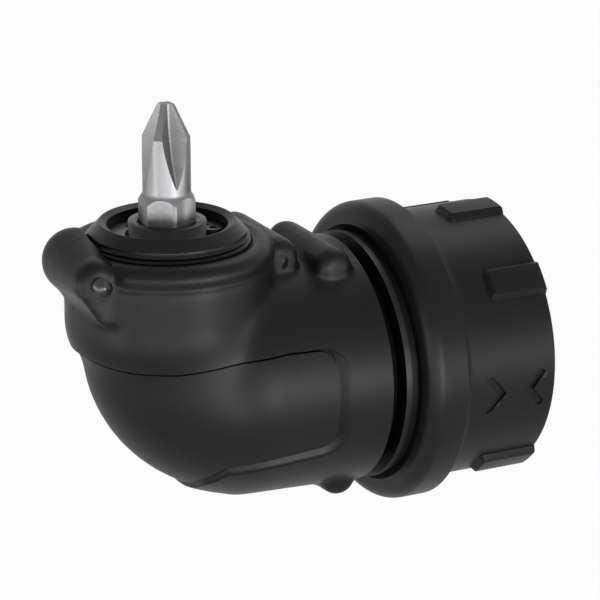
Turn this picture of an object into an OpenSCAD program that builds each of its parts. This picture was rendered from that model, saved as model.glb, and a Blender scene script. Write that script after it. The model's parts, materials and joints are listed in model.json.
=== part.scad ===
// Right angle drill attachment: a black elbow that turns the drive through ninety degrees.
// The origin is the centre of the lock collar's open rear face, +X points to the drill,
// and +Z runs along the spindle and the bit. All lengths are in millimetres.

/* [Layout] */
// Distance from the spindle axis to the open rear face of the lock collar
axis_to_mouth = 46; // [45:0.5:52]
// Gap between fixed pieces that seat in each other
seat_gap = 0.1; // [0.05:0.01:0.15]
// Radial gap between pieces that turn in each other
run_gap = 0.03; // [0.02:0.01:0.06]
// Axial gap beside pieces that turn
side_gap = 0.1; // [0.05:0.01:0.2]

/* [Head] */
// Outer radius of the head
head_r = 12.8; // [12.7:0.1:13.5]
// Height of the head's shoulder above the input axis
head_top_z = 18.8; // [18.6:0.1:19.4]
// Rounding of the head's shoulder
shoulder_round = 1.8; // [1:0.1:2.2]
// Rounding of the head's waist above the elbow
waist_round = 5; // [4:0.5:6]
// Height of the middle of the waist rounding
waist_z = 8.5; // [8:0.1:9]

/* [Elbow] */
// Radius of the elbow's outer bend
elbow_r = 18.1; // [18:0.1:19]
// Distance of the bend's outermost point from the spindle axis
elbow_corner_x = 6; // [5.7:0.1:6.2]
// Depth of that point below the input axis
elbow_corner_z = 6.5; // [6.2:0.1:6.7]
// Half width of the elbow
elbow_half_w = 12.9; // [12.5:0.1:13.5]
// Rounding of the elbow's sides
elbow_round = 9; // [7:0.5:11]
// Thickness of housing left behind the elbow guard
elbow_wall = 1.8; // [1.5:0.1:2]

/* [Barrel] */
// Radius of the barrel where it leaves the elbow
barrel_front_r = 15.4; // [15:0.1:15.7]
// Radius of the barrel at its open end
barrel_r = 15.9; // [15.6:0.1:16.4]
// Place of the barrel's rounded front
barrel_front_x = 1; // [0:0.1:1.5]
// Place of the barrel's open end
barrel_end_x = 23.4; // [23:0.1:23.6]
// Rounding of the barrel's front
barrel_round = 7; // [6:0.5:8]
// Radius of the hollow in the barrel
hollow_r = 13; // [12.6:0.1:13.1]
// Place where the hollow starts
hollow_x = 6.5; // [6:0.1:8]
// Thickness of the bulkhead that holds the gear case
bulkhead_t = 2.1; // [1.5:0.1:2.5]

/* [Elbow guard] */
// Depth of the pocket for the guard
guard_pocket = 0.9; // [0.7:0.05:1]
// Depth of the guard's surface below the housing
guard_inset = 0.35; // [0.2:0.05:0.4]
// Place of the guard's square end on the barrel
guard_end_x = 18.1; // [17:0.1:19]
// Height of the guard's upper edge at the barrel
guard_top_z = 6.8; // [6:0.1:7.5]
// Height of the guard's upper edge at the head
guard_head_z = 5; // [4.5:0.1:5.5]
// Height of the guard's lower edge below the barrel
guard_low_z = -7.5; // [-8.5:0.1:-7]
// Rounding of the guard's corners
guard_round = 3; // [2:0.1:4]

/* [Housing screws] */
// Radius of the screw bosses on the head
head_boss_r = 2.9; // [2.7:0.1:3.1]
// Radius of the screw bosses on the barrel
barrel_boss_r = 2.4; // [2.3:0.1:2.6]
// Half length of the screw bosses
boss_half_len = 8.8; // [8.2:0.1:9.5]
// Radius of the screw thread
screw_r = 1; // [0.9:0.05:1.1]
// Radius of the screw head
screw_head_r = 1.75; // [1.6:0.05:1.8]
// Height of the screw head
screw_head_h = 1.3; // [1:0.1:1.6]
// Length of the screw under its head
screw_len = 13; // [11:0.5:14]

/* [Gear case] */
// Radius of the gear case in the head
case_r = 10.9; // [10.7:0.1:11]
// Height of the gear case's shoulder
case_top_z = 17; // [16.6:0.1:17.2]
// Radius of the gear case's nose where it passes the housing
nose_r = 10.2; // [10:0.1:10.3]
// Height of the bezel's rim
bezel_z = 21.5; // [21.3:0.1:22]
// Height of the bezel's chamfer
bezel_drop = 1.3; // [1:0.1:1.4]
// Step from the bearing out to the bezel's rim
bezel_rim_w = 0.9; // [0.6:0.1:1]
// Depth of the dish inside the rim
bezel_dish = 0.4; // [0.2:0.1:0.5]
// Thickness of the gear case's tube
tube_wall = 1.2; // [1:0.1:1.4]
// Depth of the gear case below the input axis
case_depth = 6; // [5.6:0.1:6.2]

/* [Gears] */
// Teeth on each bevel gear
gear_teeth = 14; // [12:2:16]
// Radius of the pitch cone at its large end
pitch_r = 6.5; // [6.4:0.05:6.6]
// Length of the teeth along the axis
tooth_face = 2.1; // [1.8:0.1:2.3]
// Radius to which the teeth are trimmed
tooth_tip_r = 6.85; // [6.75:0.05:6.9]
// Play cut from the sides of each tooth
tooth_play = 0.09; // [0.06:0.01:0.14]
// Radius of the gear hubs
gear_hub_r = 4.8; // [4.5:0.1:4.9]
// Length of the hub behind the output gear's teeth
gear_hub_h = 3.9; // [3.6:0.1:4.2]
// Length of the hub behind the pinion's teeth
pinion_hub_h = 3.2; // [3:0.1:3.4]
// Radius of the shaft in each gear's bore
gear_bore_r = 2.2; // [2:0.05:2.3]

/* [Output bearing] */
// Bore radius of the output bearing
out_bore_r = 5; // [4.9:0.05:5.05]
// Outside radius of the output bearing
out_outer_r = 7.5; // [7.4:0.05:7.6]
// Height of the output bearing
out_h = 4; // [3.8:0.1:4.2]
// Radius of the balls
out_ball_r = 0.8; // [0.7:0.02:0.84]
// Number of balls
out_balls = 15; // [12:1:17]
// Height of the spindle's shoulder under the bearing
spindle_shoulder_h = 4.2; // [4:0.1:4.4]

/* [Input bearing] */
// Bore radius of the input bearing
in_bore_r = 4; // [3.9:0.05:4.05]
// Outside radius of the input bearing
in_outer_r = 8; // [7.9:0.05:8.1]
// Width of the input bearing
in_h = 5; // [4.8:0.1:5.2]
// Radius of the balls
in_ball_r = 1; // [0.9:0.02:1.04]
// Number of balls
in_balls = 11; // [9:1:13]

/* [Spindle] */
// Radius of the ring at the spindle's top
spindle_r = 4.85; // [4.8:0.01:4.88]
// Height of the spindle above the bezel's rim
spindle_proud = 0; // [0:0.1:0.5]
// Radius of the spindle's lower journal
lower_journal_r = 1.75; // [1.6:0.05:1.9]
// Length of the spindle's lower journal
lower_journal_len = 3; // [2.8:0.1:3.1]
// Wall of the bronze bush under the spindle
lower_bush_wall = 0.95; // [0.8:0.05:1]
// Width of the bit's hexagon across its flats
hex_af = 6.35; // [6.3:0.05:6.4]
// Play of the bit in its socket, across the flats
hex_play = 0.1; // [0.06:0.01:0.15]
// Height of the socket's floor
socket_z = 12.4; // [12.2:0.1:12.8]
// Radius of the magnet under the bit
magnet_r = 2.5; // [2.3:0.1:2.6]
// Height of the magnet
magnet_h = 1.2; // [1:0.1:1.4]
// Angle by which the hexagon is turned about the spindle
hex_turn = 23; // [0:1:29]

/* [Bit] */
// Length of the bit
bit_len = 23.9; // [23.5:0.1:50]
// Length of the bit's hexagon
bit_hex_len = 12.7; // [12:0.1:13.5]
// Height of the cone between the hexagon and the shank
bit_neck_h = 1.2; // [0.8:0.1:1.5]
// Radius of the bit's shank
bit_shank_r = 3; // [2.8:0.05:3.1]
// Length of the bit's pointed end
bit_point_len = 4; // [3.5:0.1:4.5]
// Radius of the bit's tip
bit_tip_r = 1.05; // [0.8:0.05:1.2]
// Radius of the rounded path that the flutes follow
flute_path_r = 23.3; // [22:0.1:26]
// Distance of the flutes from the bit's axis at the tip
flute_web = 0.6; // [0.5:0.05:0.7]
// Angle between the walls of a flute
flute_angle = 92; // [86:1:96]

/* [Circlips and seal] */
// Thickness of the circlips
clip_t = 0.6; // [0.5:0.05:0.65]
// Depth of the circlip grooves
clip_groove = 0.55; // [0.4:0.05:0.6]
// Radial width of the circlips
clip_w = 1.2; // [1:0.1:1.4]
// Thickness of the seal above the output bearing
seal_h = 0.5; // [0.4:0.05:0.6]

/* [Input shaft] */
// Radius of the shoulder behind the input bearing
shaft_shoulder_r = 4.9; // [4.7:0.05:5]
// Radius of the shaft in the rear bush
shaft_r = 3.8; // [3.75:0.05:3.9]
// Distance of the shank's end inside the collar's mouth
shank_back = 1; // [0.5:0.1:2]
// Length of the shank's hexagon
shank_len = 13.5; // [12:0.1:14]
// Wall of the rear bush
rear_bush_wall = 1.4; // [1.2:0.1:1.6]

/* [Adapter sleeve] */
// Radius of the disc that the housing traps
disc_r = 12.9; // [12.6:0.05:12.9]
// Thickness of the trapped disc
disc_t = 2.6; // [2.4:0.1:2.7]
// Step from the sleeve's neck out to the trapped disc
disc_step = 1.2; // [1:0.1:1.4]
// Step from the sleeve's neck out to the seat of the thrust ring
neck_step = 1.8; // [1.7:0.1:2]
// Thickness of the housing's lip around the neck
lip_t = 2.3; // [2.2:0.1:2.6]
// Step from the journal out to the shoulder that the collar turns against
shoulder_step = 0.9; // [0.7:0.1:1]
// Width of that shoulder
sleeve_shoulder_t = 1; // [0.8:0.1:1.2]
// Distance of the sleeve's end inside the collar's mouth
sleeve_back = 3; // [2.9:0.1:3.4]
// Wall of the sleeve around the drill's nose
sleeve_wall = 1.5; // [1.4:0.1:1.7]
// Thickness of the web across the sleeve
web_t = 5; // [4.6:0.1:5.2]
// Number of indexing notches in the sleeve
index_notches = 16; // [8:2:20]
// Radius of the indexing notches
notch_r = 0.7; // [0.5:0.05:0.75]
// Width of the keys that stop the sleeve from turning
key_w = 3; // [2:0.1:4]
// Depth of those keys
key_depth = 1; // [0.8:0.1:1.2]

/* [Lock collar] */
// Radius of the collar's flange
flange_r = 19.4; // [19:0.1:20]
// Radius of the collar's body
collar_r = 17.4; // [17.3:0.1:17.8]
// Width of the flange
flange_w = 5.2; // [5:0.1:6]
// Rounding of the flange's front edge
flange_round = 1.9; // [1:0.1:2]
// Wall of the collar over the journal that it turns on
collar_wall = 2.5; // [2.45:0.05:2.6]
// Step from the journal out to the counterbore behind the snap ring
bore_step = 1.1; // [1:0.05:1.2]
// Distance of the counterbore's floor inside the mouth
collar_bore_depth = 6.2; // [6:0.1:6.4]
// Height of the grip pads on the collar
pad_h = 0.8; // [0.5:0.05:1]
// Length of the grip pads
pad_len = 8.1; // [7:0.1:9]
// Half width of a pad's top
pad_top_w = 1.4; // [1:0.1:1.6]
// Half width of a pad's foot
pad_foot_w = 2.2; // [1.9:0.1:2.4]
// Reach of the bayonet tabs inside the journal's radius
tab_reach = 1.7; // [1.5:0.1:1.9]
// Width of the bayonet tabs along the axis
tab_t = 2.5; // [2.2:0.1:2.6]
// Angle that each bayonet tab spans
tab_angle = 34; // [20:1:40]
// Angle that the collar turns from locked to open
collar_turn = 30; // [20:1:35]
// Depth of the engraved alignment arrows
arrow_depth = 0.5; // [0.3:0.05:0.6]
// Rounding of the collar's rim
rim_round = 0.6; // [0.4:0.1:0.8]

/* [Thrust ring and snap ring] */
// Gap between the housing's open end and the thrust ring
thrust_gap = 1.8; // [1.6:0.1:2]
// Height of the thrust ring above the sleeve's shoulder
thrust_proud = 0.2; // [0.1:0.05:0.4]
// Width of the thrust ring's face
thrust_w = 2.5; // [2.3:0.1:2.7]
// Thickness of the thrust ring
thrust_t = 0.8; // [0.6:0.05:1]
// Thickness of the collar's snap ring
snap_t = 1; // [0.8:0.05:1]
// Depth of the snap ring's groove
snap_groove = 0.7; // [0.6:0.05:0.75]
// Height of the snap ring above its groove
snap_proud = 0.75; // [0.6:0.05:0.9]

/* [Detents] */
// Radius of the detent balls
detent_r = 1.25; // [1.1:0.05:1.3]
// Height of a ball above the journal when locked
detent_rise = 0.65; // [0.5:0.05:0.7]
// Travel of a ball when the collar is turned to open
detent_travel = 0.5; // [0.35:0.05:0.5]
// Outside radius of the detent springs
spring_r = 1.1; // [1:0.05:1.2]
// Radius of the spring wire
spring_wire_r = 0.18; // [0.15:0.01:0.2]
// Length of the springs
spring_len = 3.4; // [3:0.1:3.8]
// Turns of each spring
spring_turns = 5; // [4:1:6]

/* [Hidden] */
$fn = 96;

// Overrun of every cut past the faces that it opens
cut = 1;
black = [0.16, 0.16, 0.16];
dark = [0.22, 0.22, 0.23];
steel = [0.62, 0.63, 0.65];
bright = [0.78, 0.78, 0.80];
bronze = [0.72, 0.52, 0.28];

// Centre of the elbow's bend, whose outermost point keeps its place over the gear case
elbow_x = elbow_r * cos(45) - elbow_corner_x;
elbow_z = elbow_r * sin(45) - elbow_corner_z;

// Radii inside the lock collar, counted from its body
journal_r = collar_r - collar_wall;
collar_bore_r = journal_r + bore_step;
tab_r = journal_r - tab_reach;
sleeve_shoulder_r = journal_r + shoulder_step;
thrust_r = sleeve_shoulder_r + thrust_proud;
ring_seat_r = thrust_r - thrust_w;

// Radius of the neck, which stays inside both the trapped disc and the thrust ring's seat
neck_r = min(disc_r - disc_step, ring_seat_r - neck_step);

// Heights up the spindle, counted from the input axis
gear_back_z = pitch_r + gear_hub_h;
out_z = gear_back_z + spindle_shoulder_h;
out_top_z = out_z + out_h;
seal_top_z = out_top_z + seal_h;
clip_groove_h = clip_t + seat_gap;
spindle_top_z = bezel_z + spindle_proud;
bit_z = socket_z + seat_gap;
lower_bush_floor = 0.6;
journal_top_z = lower_bush_floor + lower_journal_len - case_depth;
lower_bush_r = lower_journal_r + run_gap + lower_bush_wall;
out_pitch_r = (out_bore_r + out_outer_r) / 2;
in_pitch_r = (in_bore_r + in_outer_r) / 2;

// Places along the input axis, counted from the spindle axis
pinion_back_x = pitch_r + pinion_hub_h;
in_x = pinion_back_x + side_gap;
in_end_x = in_x + in_h;
tube_end_x = in_end_x + clip_groove_h + tube_wall + seat_gap;
tube_r = in_outer_r + tube_wall;
disc_x = barrel_end_x - lip_t - seat_gap - disc_t;
bulkhead_x = disc_x - seat_gap - bulkhead_t;
thrust_x = barrel_end_x + thrust_gap;
shoulder_x = thrust_x + thrust_t;
collar_x = shoulder_x + sleeve_shoulder_t + side_gap;
web_x = shoulder_x + sleeve_shoulder_t / 2;
web_end_x = web_x + web_t;
sleeve_end_x = axis_to_mouth - sleeve_back;
collar_floor_x = axis_to_mouth - collar_bore_depth;
snap_x = collar_floor_x + side_gap;
shank_end_x = axis_to_mouth - shank_back;
shank_x = shank_end_x - shank_len;
detent_x = web_x + web_t / 2;
detent_z = journal_r + detent_rise - detent_r;
spring_floor_z = detent_z - detent_r - spring_len;
nose_bore_r = journal_r - sleeve_wall;
rear_bush_r = shaft_r + run_gap + rear_bush_wall;

// Places of the four screw bosses in the plane of the elbow, with the radius of each
boss_out = case_r + seat_gap + screw_r + cut / 2;
barrel_boss_x = disc_x + disc_t / 3;
barrel_boss_z = hollow_r + barrel_boss_r - screw_r / 2;
bosses = [
    [-boss_out, case_top_z, head_boss_r],
    [boss_out, case_top_z - cut, head_boss_r],
    [barrel_boss_x, barrel_boss_z, barrel_boss_r],
    [barrel_boss_x, -barrel_boss_z, barrel_boss_r]
];
screw_tip_y = boss_half_len - screw_head_h - screw_len - cut;

// Angles on the collar, from the left side towards the spindle's side
pad_step = 45;
pad_lead = 5.2;
pad_angles = [for (i = [1:7]) pad_step * i + pad_lead];
arrow_angle = 7;
arrow_reach = 2.7;
arrow_half_h = 2.6;
arrow_stroke = 1;
arrow_notch = 1.4;
arrow_from_mouth = [6.9, 4.6];

// Sets a piece drawn from the crossing of the two axes at its place before the mouth
module at_head() translate([-axis_to_mouth, 0, 0]) children();

// Turns a piece drawn up Z to run along X
module along_x() rotate([0, 90, 0]) children();

// A flat ring, drawn up Z from a given height
module ring(inner, outer, from, height) {
    translate([0, 0, from]) rotate_extrude() translate([inner, 0]) square([outer - inner, height]);
}

// The round head, drawn in by an inset
module head_form(inset) {
    core = head_r - waist_round;
    rotate_extrude() {
        translate([0, waist_z - waist_round]) square([core, waist_round]);
        intersection() {
            translate([core, waist_z]) circle(waist_round - inset);
            translate([0, waist_z - waist_round]) square([head_r, waist_round]);
        }
        translate([0, waist_z]) square([head_r - inset, head_top_z - shoulder_round - waist_z]);
        square([head_r - shoulder_round, head_top_z - inset]);
        translate([head_r - shoulder_round, head_top_z - shoulder_round]) circle(shoulder_round - inset);
    }
}

// The outer bend of the elbow, a thick wheel with rounded sides, cut off under the head
module elbow_form(inset) {
    flat_r = elbow_r - elbow_round;
    flat_w = elbow_half_w - elbow_round;
    intersection() {
        translate([elbow_x, 0, elbow_z]) rotate([90, 0, 0]) rotate_extrude() {
            translate([0, -flat_w]) square([elbow_r - inset, 2 * flat_w]);
            translate([0, -elbow_half_w + inset]) square([flat_r, 2 * (elbow_half_w - inset)]);
            for (side = [-1, 1]) intersection() {
                translate([flat_r, side * flat_w]) circle(elbow_round - inset);
                translate([0, -elbow_half_w - cut]) square([elbow_r + cut, 2 * (elbow_half_w + cut)]);
            }
        }
        translate([elbow_x - elbow_r, -elbow_half_w, elbow_z - elbow_r]) {
            cube([elbow_r + elbow_round, 2 * elbow_half_w, elbow_r]);
        }
    }
}

// The barrel, widening to its open end, with a rounded front
module barrel_form(inset) {
    flat_r = barrel_front_r - barrel_round;
    round_x = barrel_front_x + barrel_round;
    along_x() rotate_extrude() {
        polygon([
            [0, round_x], [barrel_front_r - inset, round_x],
            [barrel_r - inset, barrel_end_x], [0, barrel_end_x]
        ]);
        translate([0, barrel_front_x + inset]) square([flat_r, barrel_round]);
        intersection() {
            translate([flat_r, round_x]) circle(barrel_round - inset);
            translate([0, barrel_front_x]) square([barrel_front_r, barrel_round]);
        }
    }
}

// The whole outer form of the housing without its bosses
module outer_form(inset) {
    head_form(inset);
    elbow_form(inset);
    barrel_form(inset);
}

// How far the elbow's inside reaches left of the spindle axis at a height
elbow_inner_r = elbow_r - guard_pocket - elbow_wall / 2;
function elbow_reach(z) = sqrt(pow(elbow_inner_r, 2) - pow(z - elbow_z, 2)) - elbow_x;
case_heights = [for (i = [0:5]) guard_head_z - i * (guard_head_z + case_depth) / 5];

// The gear case without its bores, grown by a gap for the housing's seat
module case_form(gap) {
    rotate_extrude() polygon(concat(
        [[0, case_top_z + gap], [case_r + gap, case_top_z + gap], [case_r + gap, waist_z]],
        [for (z = case_heights) [elbow_reach(z) - seat_gap + gap, z - gap]],
        [[0, -case_depth - gap]]
    ));
    translate([pitch_r / 2, 0, 0]) along_x() cylinder(r = tube_r + gap, h = tube_end_x - pitch_r / 2);
}

// Slope of the guard's square end, as a share of its rounding
guard_slope = 1.8;

// The outline of the elbow guard in the plane of the elbow
module guard_outline(grow) {
    corner = guard_round + grow;
    far = elbow_x - elbow_r - cut;
    hull() {
        translate([guard_end_x - guard_round, guard_top_z - guard_round]) circle(corner, $fn = 32);
        translate([guard_end_x - guard_slope * guard_round, guard_low_z + guard_round]) {
            circle(corner, $fn = 32);
        }
        translate([far, guard_head_z - 2 * guard_round]) square([guard_round, 2 * guard_round + grow]);
        translate([far, elbow_z - elbow_r]) square([elbow_x - far - guard_round, guard_round]);
    }
}

// The band of space that the guard takes, right across the housing
module guard_band(grow) {
    rotate([90, 0, 0]) {
        linear_extrude(height = 4 * elbow_half_w, center = true) guard_outline(grow);
    }
}

// One screw boss across the housing, with rounded ends
module boss(place) {
    r = place[2];
    end = r / 2;
    translate([place[0], 0, place[1]]) rotate([90, 0, 0]) rotate_extrude() {
        translate([0, -boss_half_len]) square([r - end, 2 * boss_half_len]);
        translate([0, -boss_half_len + end]) square([r, 2 * (boss_half_len - end)]);
        for (side = [-1, 1]) translate([r - end, side * (boss_half_len - end)]) circle(end);
    }
}

// The keys that stand in the sleeve's notches, one on each side
module sleeve_keys(gap) {
    for (side = [-1, 1]) translate([disc_x - gap, side * disc_r, 0]) {
        translate([0, -key_depth - gap, -key_w / 2 - gap]) {
            cube([disc_t + 2 * gap, 2 * (key_depth + gap), key_w + 2 * gap]);
        }
    }
}

// All that is hollow in the housing
module housing_hollow() {
    case_form(seat_gap);
    translate([0, 0, case_top_z]) cylinder(r = nose_r + seat_gap, h = head_top_z);
    translate([hollow_x, 0, 0]) along_x() cylinder(r = hollow_r, h = bulkhead_x - hollow_x);
    translate([disc_x - seat_gap, 0, 0]) along_x() cylinder(r = disc_r + seat_gap, h = disc_t + 2 * seat_gap);
    translate([tube_end_x, 0, 0]) along_x() cylinder(r = tube_r + seat_gap, h = disc_x - tube_end_x);
    translate([disc_x, 0, 0]) along_x() cylinder(r = neck_r + seat_gap, h = barrel_end_x - disc_x + cut);
}

// Both halves of the housing in one, with the screw holes
module housing_whole() {
    difference() {
        union() {
            outer_form(0);
            for (place = bosses) boss(place);
        }
        housing_hollow();
        difference() {
            guard_band(seat_gap);
            outer_form(guard_pocket);
        }
        for (place = bosses) translate([place[0], 0, place[1]]) rotate([-90, 0, 0]) {
            translate([0, 0, screw_tip_y - seat_gap]) cylinder(r = screw_r, h = boss_half_len);
            cylinder(r = screw_r + seat_gap, h = boss_half_len + cut);
            translate([0, 0, boss_half_len - screw_head_h - cut]) {
                cylinder(r = screw_head_r + seat_gap, h = boss_half_len);
            }
        }
    }
    sleeve_keys(0);
}

module housing_left() {
    color(black) at_head() intersection() {
        housing_whole();
        translate([-2 * head_r, -2 * barrel_r, -2 * barrel_r]) cube([4 * head_r, 2 * barrel_r, 4 * barrel_r]);
    }
}

module housing_right() {
    color(black) at_head() intersection() {
        housing_whole();
        translate([-2 * head_r, 0, -2 * barrel_r]) cube([4 * head_r, 2 * barrel_r, 4 * barrel_r]);
    }
}

module elbow_guard() {
    color(dark) at_head() intersection() {
        difference() {
            outer_form(guard_inset);
            outer_form(guard_pocket);
        }
        guard_band(0);
    }
}

// Pan head screws that hold the halves together, heads on the right side
module housing_screws() {
    color(steel) at_head() for (place = bosses) translate([place[0], 0, place[1]]) rotate([-90, 0, 0]) {
        head_y = boss_half_len - screw_head_h - cut;
        translate([0, 0, screw_tip_y]) cylinder(r = screw_r, h = head_y - screw_tip_y);
        difference() {
            translate([0, 0, head_y]) cylinder(r = screw_head_r, h = screw_head_h);
            for (turn = [0, 90]) rotate([0, 0, turn]) {
                translate([-screw_r, -screw_r / 4, head_y + screw_head_h / 2]) {
                    cube([2 * screw_r, screw_r / 2, screw_head_h]);
                }
            }
        }
    }
}

module gear_case() {
    color(dark) at_head() difference() {
        union() {
            case_form(0);
            rotate_extrude() polygon([
                [0, waist_z], [nose_r, waist_z], [nose_r, bezel_z - bezel_drop - clip_t / 2],
                [nose_r - bezel_drop / 2, bezel_z - bezel_drop],
                [out_outer_r + bezel_rim_w, bezel_z], [out_outer_r - bezel_rim_w, bezel_z - 2 * bezel_dish],
                [0, bezel_z - 2 * bezel_dish]
            ]);
        }
        // Seat of the output bearing and the well above it
        translate([0, 0, out_z]) cylinder(r = out_outer_r, h = bezel_z);
        translate([0, 0, seal_top_z]) cylinder(r = out_outer_r + clip_groove, h = clip_groove_h);
        // Room for the output gear, drawn in towards the lower bush
        cylinder(r = tooth_tip_r + side_gap, h = out_z + cut);
        translate([0, 0, journal_top_z]) {
            cylinder(r1 = lower_bush_r + side_gap, r2 = tooth_tip_r + side_gap, h = -journal_top_z);
        }
        // Room for the pinion and the seat of the input bearing
        translate([tooth_face, 0, 0]) along_x() {
            cylinder(r = tooth_tip_r + side_gap, h = in_x - tooth_face + cut);
        }
        translate([in_x, 0, 0]) along_x() cylinder(r = in_outer_r, h = tube_end_x);
        translate([in_end_x, 0, 0]) along_x() cylinder(r = in_outer_r + clip_groove, h = clip_groove_h);
        // Seat of the lower bush
        translate([0, 0, journal_top_z - lower_journal_len]) cylinder(r = lower_bush_r, h = case_depth);
    }
}

// A circlip in a bore, open at one side, with an eyed lug at each end
module circlip(bore_r, open_from, open_to) {
    outer = bore_r + clip_groove - seat_gap;
    inner = bore_r - clip_w;
    lug_r = clip_w;
    difference() {
        union() {
            difference() {
                ring(inner, outer, 0, clip_t);
                linear_extrude(height = 3 * clip_t, center = true) {
                    polygon(concat([[0, 0]], [for (i = [0:4]) 2 * outer * [
                        cos(open_from + i * (open_to - open_from) / 4),
                        sin(open_from + i * (open_to - open_from) / 4)
                    ]]));
                }
            }
            for (end = [open_from, open_to]) rotate([0, 0, end]) {
                translate([bore_r - lug_r - seat_gap, 0, 0]) cylinder(r = lug_r, h = clip_t);
            }
        }
        for (end = [open_from, open_to]) rotate([0, 0, end]) {
            translate([bore_r - lug_r - seat_gap, 0, -cut]) cylinder(r = lug_r / 2, h = 2 * cut + clip_t);
        }
    }
}

module output_circlip() {
    color(steel) at_head() translate([0, 0, seal_top_z + seat_gap / 2]) circlip(out_outer_r, -214, 2);
}

module output_seal() {
    color(black) at_head() ring(out_bore_r + side_gap, out_outer_r, out_top_z, seal_h);
}

// A bearing ring with its ball groove, drawn up Z from zero
module race(inner, outer, width, track_r, ball_r) {
    difference() {
        ring(inner, outer, 0, width);
        translate([0, 0, width / 2]) rotate_extrude() translate([track_r, 0]) circle(ball_r + run_gap);
    }
}

// The balls of a bearing
module ball_set(track_r, ball_r, count, width) {
    for (i = [0:count - 1]) rotate([0, 0, i * 360 / count]) translate([track_r, 0, width / 2]) sphere(ball_r);
}

// The cage between a bearing's balls, a thin band with a square window for each
module cage(track_r, ball_r, count, width) {
    half_h = ball_r + cage_edge;
    difference() {
        ring(track_r - ball_r / 4, track_r + ball_r / 4, width / 2 - half_h, 2 * half_h);
        for (i = [0:count - 1]) rotate([0, 0, i * 360 / count]) {
            translate([track_r - ball_r, -ball_r - run_gap, width / 2 - ball_r - run_gap]) {
                cube([2 * ball_r, 2 * (ball_r + run_gap), 2 * (ball_r + run_gap)]);
            }
        }
    }
}

// Radial land between a bearing's two rings, shared about the ball track
out_land = 0.45;
in_land = 0.55;
// Height of a cage's edge above and below its balls
cage_edge = 0.3;

module output_bearing_outer() {
    color(bright) at_head() translate([0, 0, out_z]) {
        race(out_pitch_r + out_land, out_outer_r, out_h, out_pitch_r, out_ball_r);
    }
}

module output_bearing_inner() {
    color(bright) at_head() translate([0, 0, out_z]) {
        race(out_bore_r, out_pitch_r - out_land, out_h, out_pitch_r, out_ball_r);
    }
}

module output_bearing_balls() {
    color(bright) at_head() translate([0, 0, out_z]) ball_set(out_pitch_r, out_ball_r, out_balls, out_h);
}

module output_bearing_cage() {
    color(bronze) at_head() translate([0, 0, out_z]) cage(out_pitch_r, out_ball_r, out_balls, out_h);
}

module lower_bush() {
    color(bronze) at_head() {
        ring(lower_journal_r + run_gap, lower_bush_r, journal_top_z - lower_journal_len, lower_journal_len);
    }
}

// A straight hexagonal bar up Z, given by its width across the flats
module hex_bar(across, height) cylinder(r = across / sqrt(3), h = height, $fn = 6);

module output_spindle() {
    color(steel) at_head() difference() {
        union() {
            translate([0, 0, journal_top_z - lower_journal_len + seat_gap]) {
                cylinder(r = lower_journal_r, h = lower_journal_len);
            }
            translate([0, 0, journal_top_z + seat_gap]) {
                cylinder(r = gear_bore_r, h = gear_back_z - journal_top_z);
            }
            translate([0, 0, gear_back_z]) cylinder(r = out_bore_r + out_land, h = spindle_shoulder_h);
            translate([0, 0, out_z]) cylinder(r = out_bore_r, h = out_h);
            translate([0, 0, out_top_z]) cylinder(r = spindle_r, h = spindle_top_z - out_top_z);
        }
        rotate([0, 0, hex_turn]) translate([0, 0, socket_z]) hex_bar(hex_af + hex_play, bit_len);
        translate([0, 0, socket_z - magnet_h]) cylinder(r = magnet_r, h = magnet_h + cut);
        translate([0, 0, clip_z]) cylinder(r = clip_out_r, h = clip_t + seat_gap);
        // Chamfer at the socket's mouth
        translate([0, 0, spindle_top_z - clip_t]) {
            cylinder(r1 = hex_af / 2, r2 = hex_corner_r + clip_t, h = 2 * clip_t);
        }
    }
}

// The ring that grips the bit's corners, in a groove of the socket
hex_corner_r = hex_af / sqrt(3);
clip_z = out_top_z;
clip_in_r = hex_corner_r + run_gap;
clip_out_r = spindle_r - 4 * seat_gap;

module bit_clip() {
    color(bright) at_head() translate([0, 0, clip_z + seat_gap / 2]) difference() {
        ring(clip_in_r, clip_out_r, 0, clip_t);
        translate([0, -clip_w / 2, -cut]) cube([2 * spindle_r, clip_w, clip_t + 2 * cut]);
    }
}

module bit_magnet() {
    color(bright) at_head() translate([0, 0, socket_z - magnet_h]) {
        cylinder(r = magnet_r, h = magnet_h - seat_gap / 2);
    }
}

// One bevel tooth's height above and below the pitch cone, for a tooth size of one
addendum_share = 0.8;
dedendum_share = 1.1;
pressure_angle = 20;
tooth_size = 2 * pitch_r / gear_teeth;
cone_r = pitch_r * sqrt(2);
base_r = cone_r * cos(pressure_angle);
function involute(angle) = tan(angle) * 180 / PI - angle;
function flank_half_w(r) = r * PI / 180 * (
    45 * tooth_size / cone_r + involute(pressure_angle) - involute(acos(min(1, base_r / r)))
) - tooth_play;
function tooth_point(h, side) = let(
    lift = h / sqrt(2),
    k = pitch_r / (pitch_r - lift),
    half = flank_half_w(max(cone_r + h, base_r))
) [k * (pitch_r + lift), side * k * half];
tooth_levels = [-dedendum_share, -0.5, 0, 0.4, addendum_share] * tooth_size;
tooth_outline = concat(
    [for (h = tooth_levels) tooth_point(h, -1)],
    [for (i = [len(tooth_levels) - 1:-1:0]) tooth_point(tooth_levels[i], 1)]
);
tip_share = norm(tooth_outline[len(tooth_levels)]) / pitch_r;

// Depth to which a gear's hub is sunk in its teeth
hub_sunk = 0.2;

// The outline of all teeth at a height, shrinking towards the crossing of the axes
function turned(p, angle) = [p[0] * cos(angle) - p[1] * sin(angle), p[0] * sin(angle) + p[1] * cos(angle)];
function trimmed(p) = p * min(1, tooth_tip_r / norm(p));
function teeth_at(z) = [
    for (i = [0:gear_teeth - 1], p = tooth_outline) let(
        q = trimmed(turned(p, i * 360 / gear_teeth) * z / pitch_r)
    ) [q[0], q[1], z]
];

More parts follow.
